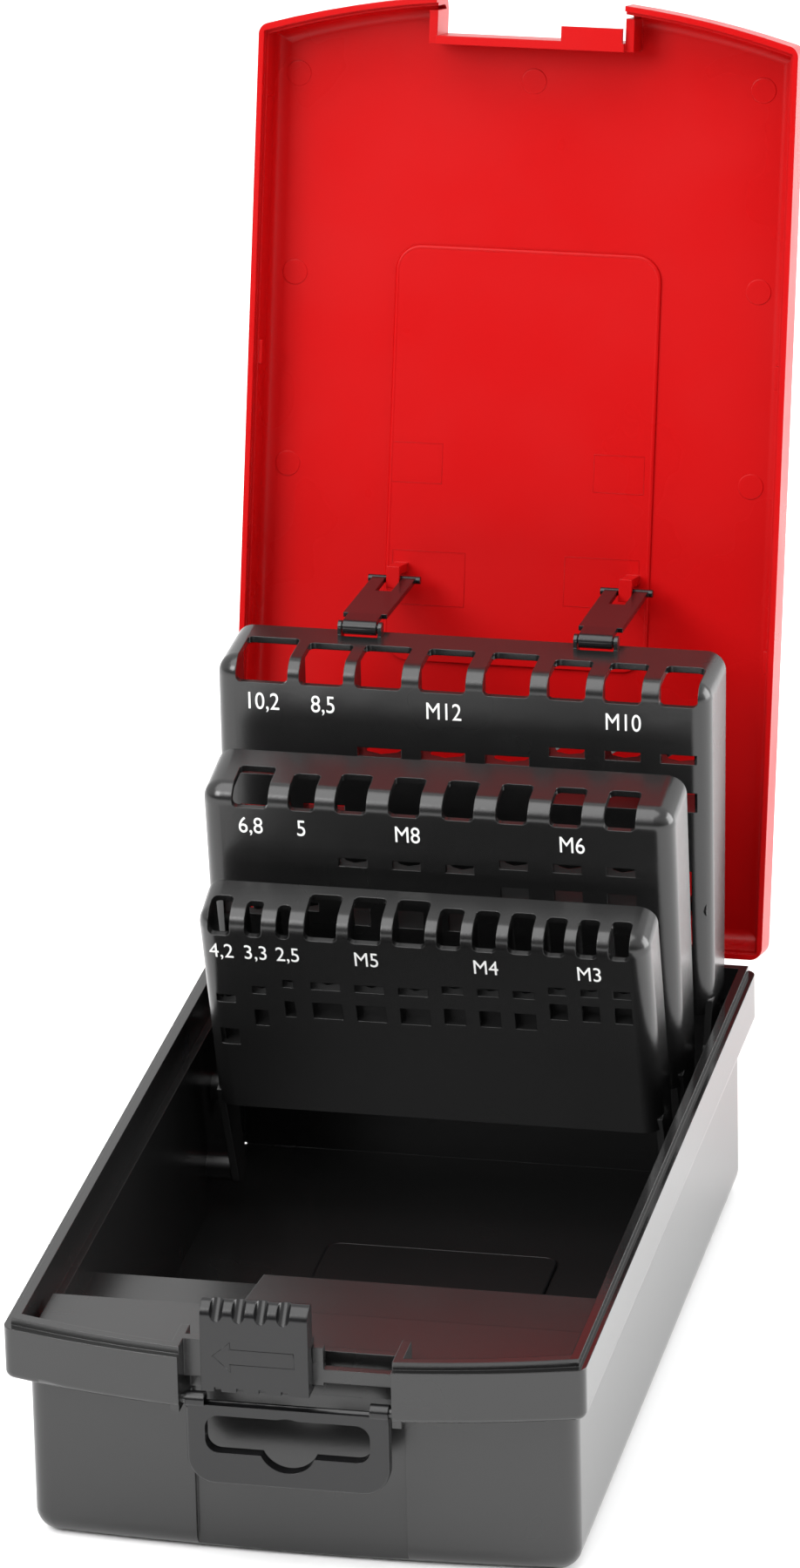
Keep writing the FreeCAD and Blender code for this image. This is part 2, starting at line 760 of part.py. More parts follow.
# ---------------------------------------------------------------- lid
def lid():
    """The lid, drawn closed about its hinge axis and turned open."""
    rim = S.hinge_drop + S.lid_gap
    top = rim + S.lid_depth
    back = -S.hinge_back
    front = back - S.case_depth
    body = new_body("LidShell")
    sketch = new_sketch(body, "XY_Plane", "LidPlan", rim)
    front_outline(sketch, half_case, front, back, S.front_bow)
    pad(body, sketch, S.lid_depth, "LidBlock")
    soften(body, "LidCorners", S.lid_corner, lambda edge: runs_along(edge, Z))
    soften(body, "LidTopEdge", S.lid_edge, lambda edge: edge.BoundBox.ZMin > top.value - NEAR)
    sketch = new_sketch(body, "XY_Plane", "LidHollowPlan", rim)
    wall = S.lid_wall
    front_outline(sketch, half_case - wall, front + wall, back - wall, S.front_bow)
    pocket(body, sketch, S.lid_depth - wall, "LidHollow")
    inside = (top - wall).value
    soften(body, "LidInnerEdge", S.lid_inner_edge,
           lambda edge: abs(edge.BoundBox.ZMin - inside) < NEAR and abs(edge.BoundBox.ZMax - inside) < NEAR)
    notch_back = S.notch_back - hinge_y
    collar = block("NotchWall", (-S.notch_left - wall, S.notch_right + wall),
                   (front - S.front_bow + 0.4 + 3.4, notch_back + wall), (rim, top - OVER))
    notch = block("LidNotch", (-S.notch_left, S.notch_right), (front - S.front_bow - OVER, notch_back),
                  (rim - OVER, top + OVER))
    filled = join("LidFilled", body, collar)
    notched = cut("LidNotched", filled, notch)
    rebate = new_body("LidRebate")
    sketch = new_sketch(rebate, "XY_Plane", "LidRebatePlan", rim - OVER)
    thin = S.lid_rebate_wall
    front_outline(sketch, half_case - thin, front + thin, back - thin, S.front_bow)
    pad(rebate, sketch, S.lid_rebate_tall + OVER, "LidRebateBlock")
    keep = block("RebateKeep", (-S.notch_left, S.notch_right),
                 (front - S.front_bow - OVER, notch_back + wall), (rim - 2, top))
    stepped = cut("LidStepped", notched, cut("LidRebateTool", rebate, keep))
    tongue = block("LidTongue", (S.tongue_left, S.tongue_right),
                   (notch_back - S.tongue_reach, notch_back + OVER), (rim, rim + S.tongue_thick))
    field = (back - S.label_far, back - S.label_near)
    across = (-S.label_half, S.label_half)
    rise = block("LabelRise", across, field, (top - wall - S.label_rise, top - wall / 2))
    raised = rounded(rise, Z, S.label_corner)
    recess = block("LabelField", across, field, (top - S.label_rise, top + OVER))
    sunk = rounded(recess, Z, S.label_corner)
    shell = join("LidShellAll", stepped, tongue, raised, *lid_beads(rim, back), *lid_knuckles(rim, back),
                 *lid_hooks(rim, top))
    bore = rod("LidBore", S.hinge_pin_radius + S.running_fit, (-S.hinge_half, S.hinge_half), ZERO, ZERO)
    return finish(cut("LidPart", shell, sunk, bore), "lid", hinge_y, hinge_z, -S.lid_open)


def lid_beads(rim, back):
    """Small beads inside the side walls, above the base's lip when the lid is closed."""
    inner = half_case - S.lid_wall
    low = rim + S.lid_rebate_tall + S.side_gap
    places = ((-1, S.bead_far), (1, S.bead_far), (1, S.bead_near))
    return [block(f"LidBead{number}", sided((inner - S.bead_rise, inner + SUNK), side),
                  (back - along - S.bead_wide, back - along), (low, low + S.bead_tall))
            for number, (side, along) in enumerate(places, start=1)]


def lid_knuckles(rim, back):
    """Knuckles of the lid on arms from its back wall."""
    items = []
    for number, span in enumerate(lid_knuckle_places(), start=1):
        arm = new_body(f"LidArm{number}")
        sketch = new_sketch(arm, "YZ_Plane", f"LidArmSide{number}", span[0])
        reach = S.knuckle_radius
        outline(sketch, [(back - SUNK, rim), (back - SUNK, rim + 3.4), (back + 0.9, rim + 3.4),
                         (reach * 0.86, reach * 0.5), (ZERO, ZERO), (back + 0.35, reach * 0.5),
                         (back + 0.35, rim)])
        pad(arm, sketch, span[1] - span[0], f"LidArmBlock{number}")
        items += [arm, rod(f"LidKnuckle{number}", reach, span, ZERO, ZERO)]
    return items


def lid_hooks(rim, top):
    """J hooks inside the lid that hold the straps' bars."""
    bar_y = -S.hinge_back - S.hook_from_hinge
    bar_z = rim + S.hook_inside
    lip_high = bar_z - S.strap_bar_radius - 0.15
    post_front = bar_y - S.strap_bar_radius - 0.3
    items = []
    for side in (-1, 1):
        centre = side * S.strap_from_middle
        x = (centre - S.hook_width / 2, centre + S.hook_width / 2)
        name = "Hook" + ("Left" if side < 0 else "Right")
        hook = new_body(name)
        sketch = new_sketch(hook, "YZ_Plane", name + "Side", x[0])
        back_of_post = post_front - S.hook_thick
        outline(sketch, [(back_of_post, top - OVER), (back_of_post, lip_high - S.hook_lip),
                         (bar_y + S.hook_reach, lip_high - S.hook_lip),
                         (bar_y + S.hook_reach, lip_high),
                         (post_front, lip_high), (post_front, top - OVER)])
        pad(hook, sketch, S.hook_width, name + "Block")
        items.append(hook)
    return items


def hinge_pin():
    """Steel rod through the lid hinge."""
    body = new_body("HingePin")
    sketch = new_sketch(body, "YZ_Plane", "HingePinEnd", -S.hinge_half)
    ring(sketch, ZERO, ZERO, S.hinge_pin_radius)
    pad(body, sketch, S.hinge_half * 2, "HingePinLength")
    return finish(body, "hinge_pin", hinge_y, hinge_z)


# ---------------------------------------------------------------- angles and places in the side view
def cosine(angle):
    """Cosine of an angle in degrees."""
    return Size(math.cos(math.radians(angle.value)), f"cos({angle.text})")


def sine(angle):
    """Sine of an angle in degrees."""
    return Size(math.sin(math.radians(angle.value)), f"sin({angle.text})")


def distance(across, up):
    """Length of the line that runs this far across and up."""
    return Size(math.hypot(across.value, up.value), f"sqrt({across.text} ^ 2 + {up.text} ^ 2)")


def angle_of(across, up):
    """Angle in degrees of the line that runs this far across and up."""
    return Size(math.degrees(math.atan2(up.value, across.value)), f"atan2({up.text}; {across.text})")


def bank_place(bank, back, up):
    """Where a point of a bank's own frame lies in the case."""
    lean = size(bank, "lean")
    y, z = pivot(bank)
    return (y + back * cosine(lean) - up * sine(lean),
            z + back * sine(lean) + up * cosine(lean))


# ---------------------------------------------------------------- banks
BANK_TOOLS = {
    "rear": ["drill_10_2", "drill_8_5", "tap_12", "tap_12", "tap_12", "tap_10", "tap_10", "tap_10"],
    "middle": ["drill_6_8", "drill_5", "tap_8", "tap_8", "tap_8", "tap_6", "tap_6", "tap_6"],
    "front": ["drill_4_2", "drill_3_3", "drill_2_5", "tap_5", "tap_5", "tap_5",
              "tap_4", "tap_4", "tap_4", "tap_3", "tap_3", "tap_3"],
}


def slot_columns(bank):
    """Each slot's tool with its left and right sides.  The taps share what the drills leave."""
    tools = BANK_TOOLS[bank]
    drills = [tool for tool in tools if tool.startswith("drill")]
    left = size(bank, "slots_in") - bank_half(bank)
    room = bank_half(bank) * 2 - size(bank, "slots_in") - size(bank, "slots_out")
    for tool in tools:
        room = room - size("slot", tool)
    tap_gap = (room - size(bank, "drill_gap") * len(drills)) / (len(tools) - len(drills) - 1)
    columns = []
    for tool in tools:
        right = left + size("slot", tool)
        columns.append((tool, left, right))
        left = right + (size(bank, "drill_gap") if tool in drills else tap_gap)
    return columns


def brow_edges(half, face, top):
    """A test for the edges where two of the face, the top and the sides meet."""
    edge_x, edge_y, edge_z = half.value - NEAR, face.value + NEAR, top.value - NEAR

    def on_brow(edge):
        box = edge.BoundBox
        at_side = box.XMin > edge_x or box.XMax < -edge_x
        return (at_side + (box.YMax < edge_y) + (box.ZMin > edge_z)) == 2

    return on_brow


def bank_shell(bank):
    """Face, top and cheeks with rounded edges, open at the back, with arms to the pivot."""
    half, face, top, low = bank_half(bank), -size(bank, "face"), size(bank, "top"), size(bank, "bottom")
    back_top, back_low = face + size(bank, "depth_top"), face + size(bank, "depth_low")
    name = bank.title()
    body = new_body(name + "Shell")
    sketch = new_sketch(body, "YZ_Plane", name + "Side", -half)
    outline(sketch, [(face, low), (back_low, low), (back_top, top), (face, top)])
    pad(body, sketch, half * 2, name + "Block")
    soften(body, name + "Brow", S.bank_edge, brow_edges(half, face, top))
    skin = S.bank_skin
    inner = half - S.cheek
    hollow = new_body(name + "Hollow")
    sketch = new_sketch(hollow, "YZ_Plane", name + "HollowSide", -inner)
    outline(sketch, [(face + skin, low - OVER), (back_top + 2, low - OVER),
                     (back_top + 2, top - skin), (face + skin, top - skin)])
    pad(hollow, sketch, inner * 2, name + "HollowBlock")
    soften(hollow, name + "InnerBrow", S.bank_edge - skin, brow_edges(inner, face + skin, top - skin))
    for side, start in (("Left", -half), ("Right", inner)):
        sketch = new_sketch(body, "YZ_Plane", f"{name}Arm{side}", start)
        outline(sketch, [(-S.arm_radius, ZERO), (S.arm_radius, ZERO),
                         (back_low - 0.2, low + 3), (face + 1.2, low + 3)])
        pad(body, sketch, S.cheek, f"{name}ArmPlate{side}")
        sketch = new_sketch(body, "YZ_Plane", f"{name}Eye{side}", start)
        ring(sketch, ZERO, ZERO, S.arm_radius)
        pad(body, sketch, S.cheek, f"{name}EyePlate{side}")
    return cut(name + "Open", body, hollow)


def bank_cells(bank):
    """Shelves and ribs that carry the tools, and the cutters for slots and windows."""
    face, top = -size(bank, "face"), size(bank, "top")
    brow = top - size(bank, "brow_drop")
    skin = S.bank_skin
    depth = (face + skin - 0.2, face + S.shelf_reach)
    name = bank.title()
    solids, cutters = [], []
    columns = slot_columns(bank)
    lowest = largest(size("stop", tool) for tool in BANK_TOOLS[bank]) + S.stop_tall
    for number, (tool, left, right) in enumerate(columns, start=1):
        label = f"{name}{number}"
        reach = face + right - left + S.slot_behind
        front_cut = block(f"{label}FrontCut", (left, right), (face - OVER, reach), (brow, top + OVER))
        top_cut = block(f"{label}TopCut", (left, right), (face - 2, reach), (brow - OVER, top + 2))
        slot = doc.addObject("Part::Common", f"{label}Slot")
        slot.Base = rounded(front_cut, Y, S.slot_corner)
        slot.Tool = rounded(top_cut, Z, S.slot_corner)
        cutters.append(slot)
        edge = S.rib_thick
        room = link_room(bank)
        cell = (largest([left - edge, -room]), smallest([right + edge, room]))
        middle = (left + right) / 2
        guide = brow - size("guide", tool)
        stop = brow - size("stop", tool)
        for what, high, tall in (("Guide", guide, S.guide_tall), ("Stop", stop, S.stop_tall)):
            cutters.append(block(f"{label}{what}Window", (left + 0.3, right - 0.3),
                                 (face - OVER, face + skin + 0.1), (high - tall, high)))
            shelf = block(f"{label}{what}Shelf", cell, depth, (high - tall - S.shelf_thick, high - tall))
            solids.append(shelf)
        grip = doc.addObject("Part::Prism", f"{label}GuideHole")
        grip.Polygon = 8
        radius = (right - left) * 0.45
        grip.Circumradius = radius.value
        bind(grip, "Circumradius", radius)
        bind(grip, "Height", S.shelf_thick + 2)
        for axis, value in zip("xyz", (middle, face + skin + radius + 0.4,
                                       guide - S.guide_tall - S.shelf_thick - OVER)):
            bind(grip, f"Placement.Base.{axis}", value)
        cutters.append(grip)
        if number < len(columns):
            rib = (right + columns[number][1]) / 2
            solids.append(block(f"{label}Rib", (rib - S.rib_thick / 2, rib + S.rib_thick / 2),
                                depth, (brow - lowest, top - skin + 0.2)))
    return solids, cutters


def link_room(bank):
    """Half width that the links inside a bank leave to its shelves."""
    if bank == "rear":
        return bank_half("rear") - S.cheek
    return link_span("front")[0] - S.link_gap


def bank(name_of_bank):
    """One bank with its slots, shelves, link pins and, on the rear bank, strap rods."""
    body = bank_shell(name_of_bank)
    solids, cutters = bank_cells(name_of_bank)
    more_solids, more_cutters = link_fittings(name_of_bank)
    solids += more_solids
    cutters += more_cutters
    if name_of_bank == "rear":
        rods, notches = strap_rods()
        solids += rods
        cutters += notches
    half = bank_half(name_of_bank)
    title = name_of_bank.title()
    for side in (-1, 1):
        span = sided((half - S.cheek - 0.5, half + 0.5), side)
        where = "Left" if side < 0 else "Right"
        cutters.append(rod(f"{title}PivotBore{where}", S.pivot_pin_radius + S.running_fit, span, ZERO, ZERO))
    whole = cut(f"Bank{title}", join(f"{title}Solid", body, *solids), *cutters)
    return finish(whole, f"bank_{name_of_bank}", *pivot(name_of_bank), size(name_of_bank, "lean"))


# ---------------------------------------------------------------- links between the banks
LINK_PAIRS = {"front": "middle", "middle": "rear"}


def link_span(follower):
    """X limits of a link on the right side: just inside the follower's cheek."""
    outer = bank_half(follower) - S.cheek - S.link_gap
    return outer - S.link_thick, outer


def link_ends(follower, carrier):
    """The link's hinge on its carrier and its far pin on the follower, in each bank's frame."""
    hinge = (size(carrier, "hinge_back") - size(carrier, "face"), size(carrier, "hinge_up"))
    far = (size(follower, "link_back") - size(follower, "face"), size(follower, "link_up"))
    return hinge, far


def link_fittings(name_of_bank):
    """Pins that this bank gives to its links, and the window that a link passes through."""
    solids, cutters = [], []
    title = name_of_bank.title()
    inner = bank_half(name_of_bank) - S.cheek
    for follower, carrier in LINK_PAIRS.items():
        if name_of_bank not in (follower, carrier):
            continue
        low, high = link_span(follower)
        hinge, far = link_ends(follower, carrier)
        for side in (-1, 1):
            where = "Left" if side < 0 else "Right"
            if name_of_bank == carrier:
                back, up = hinge
                solids.append(rod(f"{title}HingePin{where}", S.link_pin_radius,
                                  sided((low - 0.4, inner + SUNK), side), back, up))
                solids.append(rod(f"{title}HingeBoss{where}", S.link_radius,
                                  sided((high + S.link_gap, inner + SUNK), side), back, up))
                face = -size(carrier, "face")
                cutters.append(block(f"{title}LinkWindow{where}",
                                     sided((low - S.link_gap * 2, high + S.link_gap * 2), side),
                                     (face - OVER, face + S.bank_skin + 3),
                                     (up - S.link_window_below, up + S.link_window_above)))
            else:
                back, up = far
                solids.append(rod(f"{title}LinkPin{where}", S.link_pin_radius,
                                  sided((low - 0.4, inner + SUNK), side), back, up))
    return solids, cutters


def link(follower, carrier, side):
    """A flat link, hinged on its carrier and loose on the follower's pin."""
    hinge, far = link_ends(follower, carrier)
    hinge_at, far_at = bank_place(carrier, *hinge), bank_place(follower, *far)
    across, up = far_at[0] - hinge_at[0], far_at[1] - hinge_at[1]
    length = distance(across, up)
    span = sided(link_span(follower), side)
    where = "left" if side < 0 else "right"
    name = f"Link{follower.title()}{where.title()}"
    far_radius = S.link_pin_radius + S.link_play
    plate = join(name + "Plate",
                 rod(name + "Near", S.link_radius, span, ZERO, ZERO),
                 rod(name + "Far", far_radius + 1.1, span, ZERO, length),
                 block(name + "Bar", span, (-S.link_radius * 0.8, S.link_radius * 0.8), (ZERO, length)))
    wide = (span[0] - OVER, span[1] + OVER)
    item = cut(name, plate,
               rod(name + "Bore", S.link_pin_radius + S.running_fit, wide, ZERO, ZERO),
               rod(name + "Eye", far_radius, wide, ZERO, length))
    return finish(item, f"link_{follower}_{where}", hinge_at[0], hinge_at[1], angle_of(up, -across))


# ---------------------------------------------------------------- straps
def strap_rods():
    """Ears on the rear bank's top with the rods the straps clip on, and notches for the straps."""
    solids, notches = [], []
    back, half = S.strap_rod_back, S.strap_width / 2
    inner = half - S.strap_ear_thick
    for side in (-1, 1):
        where = "Left" if side < 0 else "Right"
        centre = side * S.strap_from_middle
        notches.append(block(f"StrapNotch{where}", (centre - inner, centre + inner),
                             (back - S.strap_clip_radius - S.side_gap, S.rear_depth_top + OVER),
                             (S.rear_top - S.bank_skin - OVER, S.rear_top + OVER)))
        ends = ((centre - half, centre - half + S.strap_ear_thick),
                (centre + half - S.strap_ear_thick, centre + half))
        for number, span in enumerate(ends, start=1):
            solids.append(block(f"StrapEar{where}{number}", span,
                                (back - S.strap_ear_radius, back + S.strap_ear_radius),
                                (S.rear_top - S.bank_skin / 2, strap_rod_up)))
            solids.append(rod(f"StrapEye{where}{number}", S.strap_ear_radius, span, back, strap_rod_up))
        solids.append(rod(f"StrapRod{where}", S.strap_rod_radius,
                          (ends[0][0] + 0.2, ends[1][1] - 0.2), back, strap_rod_up))
    return solids, notches


def hook_place():
    """Where the lid's hooks hold the straps' bars, with the lid open."""
    back = -S.hinge_back - S.hook_from_hinge
    up = S.hinge_drop + S.lid_gap + S.hook_inside
    turn = S.lid_open
    return (hinge_y + back * cosine(turn) + up * sine(turn),
            hinge_z - back * sine(turn) + up * cosine(turn))


def strap(side):
    """A strap: clip on the rear bank's rod, plate, and bar under the lid's hook."""
    rod_at = bank_place("rear", S.strap_rod_back, strap_rod_up)
    bar_at = hook_place()
    across, up = bar_at[0] - rod_at[0], bar_at[1] - rod_at[1]
    length = distance(across, up)
    where = "left" if side < 0 else "right"
    name = "Strap" + where.title()
    centre = side * S.strap_from_middle
    half, thick, clip = S.strap_width / 2, S.strap_thick, S.strap_clip_radius
    neck = half - S.strap_ear_thick - S.side_gap
    bar_half = S.strap_bar_wide / 2
    plate = new_body(name + "Plate")
    sketch = new_sketch(plate, "YZ_Plane", name + "PlateSide", centre - half)
    outline(sketch, [(S.strap_neck, clip - thick), (length, -thick / 2),
                     (length, thick / 2), (S.strap_neck, clip)])
    pad(plate, sketch, S.strap_width, name + "PlateBlock")
    body = join(name + "Solid", plate,
                block(name + "Neck", (centre - neck, centre + neck),
                      (ZERO, S.strap_neck + 0.2), (clip - thick, clip)),
                rod(name + "Clip", clip, (centre - neck, centre + neck), ZERO, ZERO),
                rod(name + "Bar", S.strap_bar_radius, (centre - bar_half, centre + bar_half), length, ZERO))
    window = S.hook_width / 2 + S.strap_window_side
    mouth = S.strap_rod_radius * 0.7
    item = cut(name, body,
               block(name + "Window", (centre - window, centre + window),
                     (length - S.strap_window, length - S.strap_bar_radius), (-clip, clip)),
               rod(name + "Bore", S.strap_rod_radius + S.running_fit,
                   (centre - half, centre + half), ZERO, ZERO),
               block(name + "Mouth", (centre - half, centre + half), (-mouth, mouth), (-clip - OVER, ZERO)))
    return finish(item, f"strap_{where}", rod_at[0], rod_at[1], angle_of(across, up))


# ---------------------------------------------------------------- latch
def latch_slider():
    """The sliding catch that rides on the bar and locks the lid's tongue."""
    gap = S.slider_gap
    front = bar_front - S.slider_front
    low = bar_low - gap - S.slider_below
    high = low + S.slider_tall
    left = -S.slider_left
    leg = bar_back + gap
    lock_low = S.rim_height + S.lid_gap + S.tongue_thick + gap
    body = new_body("SliderBlock")
    sketch = new_sketch(body, "YZ_Plane", "SliderSide", left)
    knee = low + S.slider_leg
    outline(sketch, [(front, low), (leg + S.slider_hook, low), (leg + S.slider_hook, knee),
                     (leg, knee), (leg, bar_low - gap), (bar_front - gap, bar_low - gap),
                     (bar_front - gap, S.rim_height - gap), (bar_front - gap * 3, S.rim_height - gap),
                     (bar_front - gap * 3, lock_low), (bar_back - 0.1, lock_low),
                     (bar_back - 0.1, lock_low + 1.5), (front + S.slider_depth, lock_low + 1.5),
                     (front + S.slider_depth, high), (front, high)])
    pad(body, sketch, S.slider_width, "SliderLength")
    front_at, high_at = front.value + NEAR, high.value - NEAR
    soften(body, "SliderTopRound", S.slider_round,
           lambda edge: edge.BoundBox.YMax < front_at and edge.BoundBox.ZMin > high_at)
    back_at = (front + S.slider_depth).value - NEAR
    soften(body, "SliderBackRound", S.slider_back_round,
           lambda edge: edge.BoundBox.YMin > back_at and edge.BoundBox.ZMin > high_at)
    cutters = []
    bulge = S.slider_round * 0.7071
    for number in range(4):
        middle = left + S.groove_first + S.groove_pitch * number
        groove = doc.addObject("Part::Cylinder", f"SliderGroove{number + 1}")
        groove.Placement = FreeCAD.Placement(Vector(), FreeCAD.Rotation(X, -45))
        bind(groove, "Radius", S.groove_radius)
        bind(groove, "Height", S.slider_round * 2.2)
        for axis, value in zip("xyz", (middle, front + S.slider_round - bulge - S.slider_round * 0.78,
                                       high - S.slider_round + bulge - S.slider_round * 0.78)):
            bind(groove, f"Placement.Base.{axis}", value)
        cutters.append(groove)
        cutters.append(block(f"SliderScallop{number + 1}", (middle - 0.7, middle + 0.7),
                             (front - OVER, front + 0.9), (low - OVER, low + 0.9)))
    return finish(cut("LatchSlider", body, *cutters), "latch_slider")


# ---------------------------------------------------------------- hanging loop
def hanging_loop():
    """The fold-out loop with its hanging slot, below the latch."""
    half = S.loop_width / 2
    y = (S.loop_pivot_y - S.loop_thick / 2, S.loop_pivot_y + S.loop_thick / 2)
    high = loop_pivot_z
    low = high - S.loop_reach
    body = new_body("LoopPlate")
    sketch = new_sketch(body, "XZ_Plane", "LoopFront", -y[1])
    outline(sketch, [(-half, low), (half, low), (half, high), (-half, high)])
    pad(body, sketch, S.loop_thick, "LoopBlock")
    low_at = low.value + NEAR
    soften(body, "LoopCorners", S.loop_corner,
           lambda edge: runs_along(edge, Y) and edge.BoundBox.ZMax < low_at)
    front_at, high_at = y[0].value + NEAR, high.value - NEAR
    soften(body, "LoopFrontEdge", S.loop_edge,
           lambda edge: edge.BoundBox.YMax < front_at and edge.BoundBox.ZMin < high_at)
    inner = half - S.loop_arm
    wide = (y[0] - OVER, y[1] + OVER)
    bar_high = high - S.loop_bar_drop
    slot_high = bar_high - S.loop_bar_tall
    slot_low = slot_high - S.loop_slot_tall
    straight = block("LoopSlot", (-inner, inner), wide, (slot_low, slot_high))
    slot = rounded(straight, Y, S.loop_slot_corner)
    bump = doc.addObject("Part::Cylinder", "LoopBump")
    radius = S.loop_bump_wide / 2
    bump.Placement = FreeCAD.Placement(Vector(), FreeCAD.Rotation(X, -90))
    bind(bump, "Radius", radius)
    bind(bump, "Height", wide[1] - wide[0])
    for axis, value in zip("yz", (wide[0], slot_low + radius - S.loop_slot_bump)):
        bind(bump, f"Placement.Base.{axis}", value)
    knuckles = [rod("LoopKnuckle" + where, S.loop_thick / 2 + 0.3, sided((inner, half), side),
                    S.loop_pivot_y, loop_pivot_z) for side, where in ((-1, "Left"), (1, "Right"))]
    gap = block("LoopGap", (-inner, inner), wide, (bar_high, high + 3))
    bore = rod("LoopBore", S.loop_pin_radius + S.running_fit, (-half - OVER, half + OVER),
               S.loop_pivot_y, loop_pivot_z)
    return finish(cut("HangingLoop", join("LoopSolid", body, *knuckles), slot, bump, gap, bore),
                  "hanging_loop")


# ---------------------------------------------------------------- build, check and write
def main():
    base_case()
    lid()
    hinge_pin()
    for name in BANK_TOOLS:
        bank(name)
    for follower, carrier in LINK_PAIRS.items():
        for side in (-1, 1):
            link(follower, carrier, side)
    for side in (-1, 1):
        strap(side)
    latch_slider()
    hanging_loop()
    doc.recompute()
    failed = [item.Name for item in doc.Objects if "Invalid" in item.State or "Error" in item.State]
    if failed:
        raise RuntimeError(f"failed to build: {failed}")
    os.makedirs("parts", exist_ok=True)
    for item in NODES:
        shape = item.Shape
        if shape.isNull() or not shape.isValid():
            raise RuntimeError(f"{item.Label} has no valid shape")
        shape.exportStep(f"parts/{item.Label}.step")
        print(item.Label, len(shape.Solids), round(shape.Volume, 1))


main()
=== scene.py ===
"""Dresses and lights the folding tap and drill case.

The case stands open: the lid hangs back on its hinge, three banks of slots
rise out of the tub one behind another, and the latch slider and the hanging
loop sit on the front wall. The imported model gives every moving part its
shape; this script gives the parts their finishes, prints the sizes on the
banks, adds the moulding details that are too fine for the solids, and sets
the lights and the camera.
"""

import json
import logging
import math
from dataclasses import dataclass, field
from enum import Enum

import bpy
from mathutils import Matrix, Vector

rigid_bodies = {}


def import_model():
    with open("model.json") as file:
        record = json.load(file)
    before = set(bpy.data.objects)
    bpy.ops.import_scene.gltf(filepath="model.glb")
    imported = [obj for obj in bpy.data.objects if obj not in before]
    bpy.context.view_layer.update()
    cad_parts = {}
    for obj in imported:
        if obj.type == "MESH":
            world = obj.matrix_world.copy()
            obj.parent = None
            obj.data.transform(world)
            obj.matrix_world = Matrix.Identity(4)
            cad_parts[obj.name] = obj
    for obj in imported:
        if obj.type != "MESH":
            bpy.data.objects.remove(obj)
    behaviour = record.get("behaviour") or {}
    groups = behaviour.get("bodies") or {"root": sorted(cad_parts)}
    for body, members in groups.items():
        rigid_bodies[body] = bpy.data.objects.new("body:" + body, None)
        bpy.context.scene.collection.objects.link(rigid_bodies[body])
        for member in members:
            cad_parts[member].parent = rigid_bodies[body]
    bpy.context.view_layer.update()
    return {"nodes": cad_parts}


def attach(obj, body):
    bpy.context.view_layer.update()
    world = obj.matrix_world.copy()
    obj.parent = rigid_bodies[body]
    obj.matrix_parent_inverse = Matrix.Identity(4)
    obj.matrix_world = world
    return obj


LOG = logging.getLogger("tap_case")
MM = 0.001
# From the collar's front corners to the middle of the case, where y is zero.
HALF_DEPTH_MM = 95.9
# Straight runs that make a quarter turn.
CORNER_STEPS = 8
# The printing's typeface is set at this size, and its capitals and figures stand this share high.
TYPE_SIZE_MM = 10
CAPITAL_SHARE = 0.729


# ---------------------------------------------------------------- small tools
def linear(colour: str) -> tuple[float, float, float, float]:
    """Turns an sRGB hex colour into linear light.

    Args:
        colour: The colour as "#rrggbb".

    Returns:
        Red, green, blue and alpha, as a shader's socket takes them.
    """
    parts = [int(colour[i:i + 2], 16) / 255 for i in (1, 3, 5)]
    light = [c / 12.92 if c <= 0.04045 else ((c + 0.055) / 1.055) ** 2.4 for c in parts]
    return (light[0], light[1], light[2], 1.0)


def case_point(x: float, y: float, z: float) -> Vector:
    """Gives a place in the model's metres.

    Args:
        x: Millimetres to the right of the middle.
        y: Millimetres behind the collar's front corners.
        z: Millimetres above the floor.

    Returns:
        The place in metres.
    """
    return Vector((x, y - HALF_DEPTH_MM, z)) * MM


def add_node(tree: bpy.types.NodeTree, kind: str, settings: dict | None = None,
             links: dict | None = None) -> bpy.types.Node:
    """Adds a shader node.

    Args:
        tree: The node tree that gets it.
        kind: The node's type name.
        settings: Attributes, or socket values under the socket's name.
        links: Output sockets to link, under the input's name.

    Returns:
        The new node.
    """
    node = tree.nodes.new(kind)
    for name, value in (settings or {}).items():
        if name in node.inputs:
            node.inputs[name].default_value = value
        else:
            setattr(node, name, value)
    for name, source in (links or {}).items():
        tree.links.new(source, node.inputs[name])
    return node


def deselect() -> None:
    """Leaves nothing selected, so the next operator acts on its own piece."""
    if bpy.context.mode != "OBJECT":
        bpy.ops.object.mode_set(mode="OBJECT")
    for item in bpy.context.scene.objects:
        item.select_set(False)
    bpy.context.view_layer.objects.active = None


def take(item: bpy.types.Object) -> bpy.types.Object:
    """Selects one object alone and makes it the active one."""
    deselect()
    item.select_set(True)
    bpy.context.view_layer.objects.active = item
    return item


def apply_modifier(item: bpy.types.Object, kind: str, **settings: object) -> None:
    """Adds a modifier to an object and applies it.

    Args:
        item: The object.
        kind: The modifier's type.
        **settings: The modifier's attributes.
    """
    take(item)
    modifier = item.modifiers.new(kind.title(), kind)
    for name, value in settings.items():
        setattr(modifier, name, value)
    bpy.ops.object.modifier_apply(modifier=modifier.name)


def place_mesh(item: bpy.types.Object, where: Matrix) -> bpy.types.Object:
    """Moves an object's mesh to its place and leaves the object at the origin.

    Args:
        item: The object, whose own transform is folded into the mesh.
        where: The place of the mesh in the model.

    Returns:
        The same object.
    """
    bpy.context.view_layer.update()
    item.data.transform(where @ item.matrix_world)
    item.matrix_world = Matrix.Identity(4)
    return item


def merge(name: str, items: list[bpy.types.Object]) -> bpy.types.Object:
    """Joins meshes into one piece.

    Args:
        name: The joined piece's name.
        items: The objects to join.

    Returns:
        The joined piece.
    """
    deselect()
    for item in items:
        item.select_set(True)
    bpy.context.view_layer.objects.active = items[0]
    if len(items) > 1:
        bpy.ops.object.join()
    piece = bpy.context.view_layer.objects.active
    piece.name = piece.data.name = name
    return piece


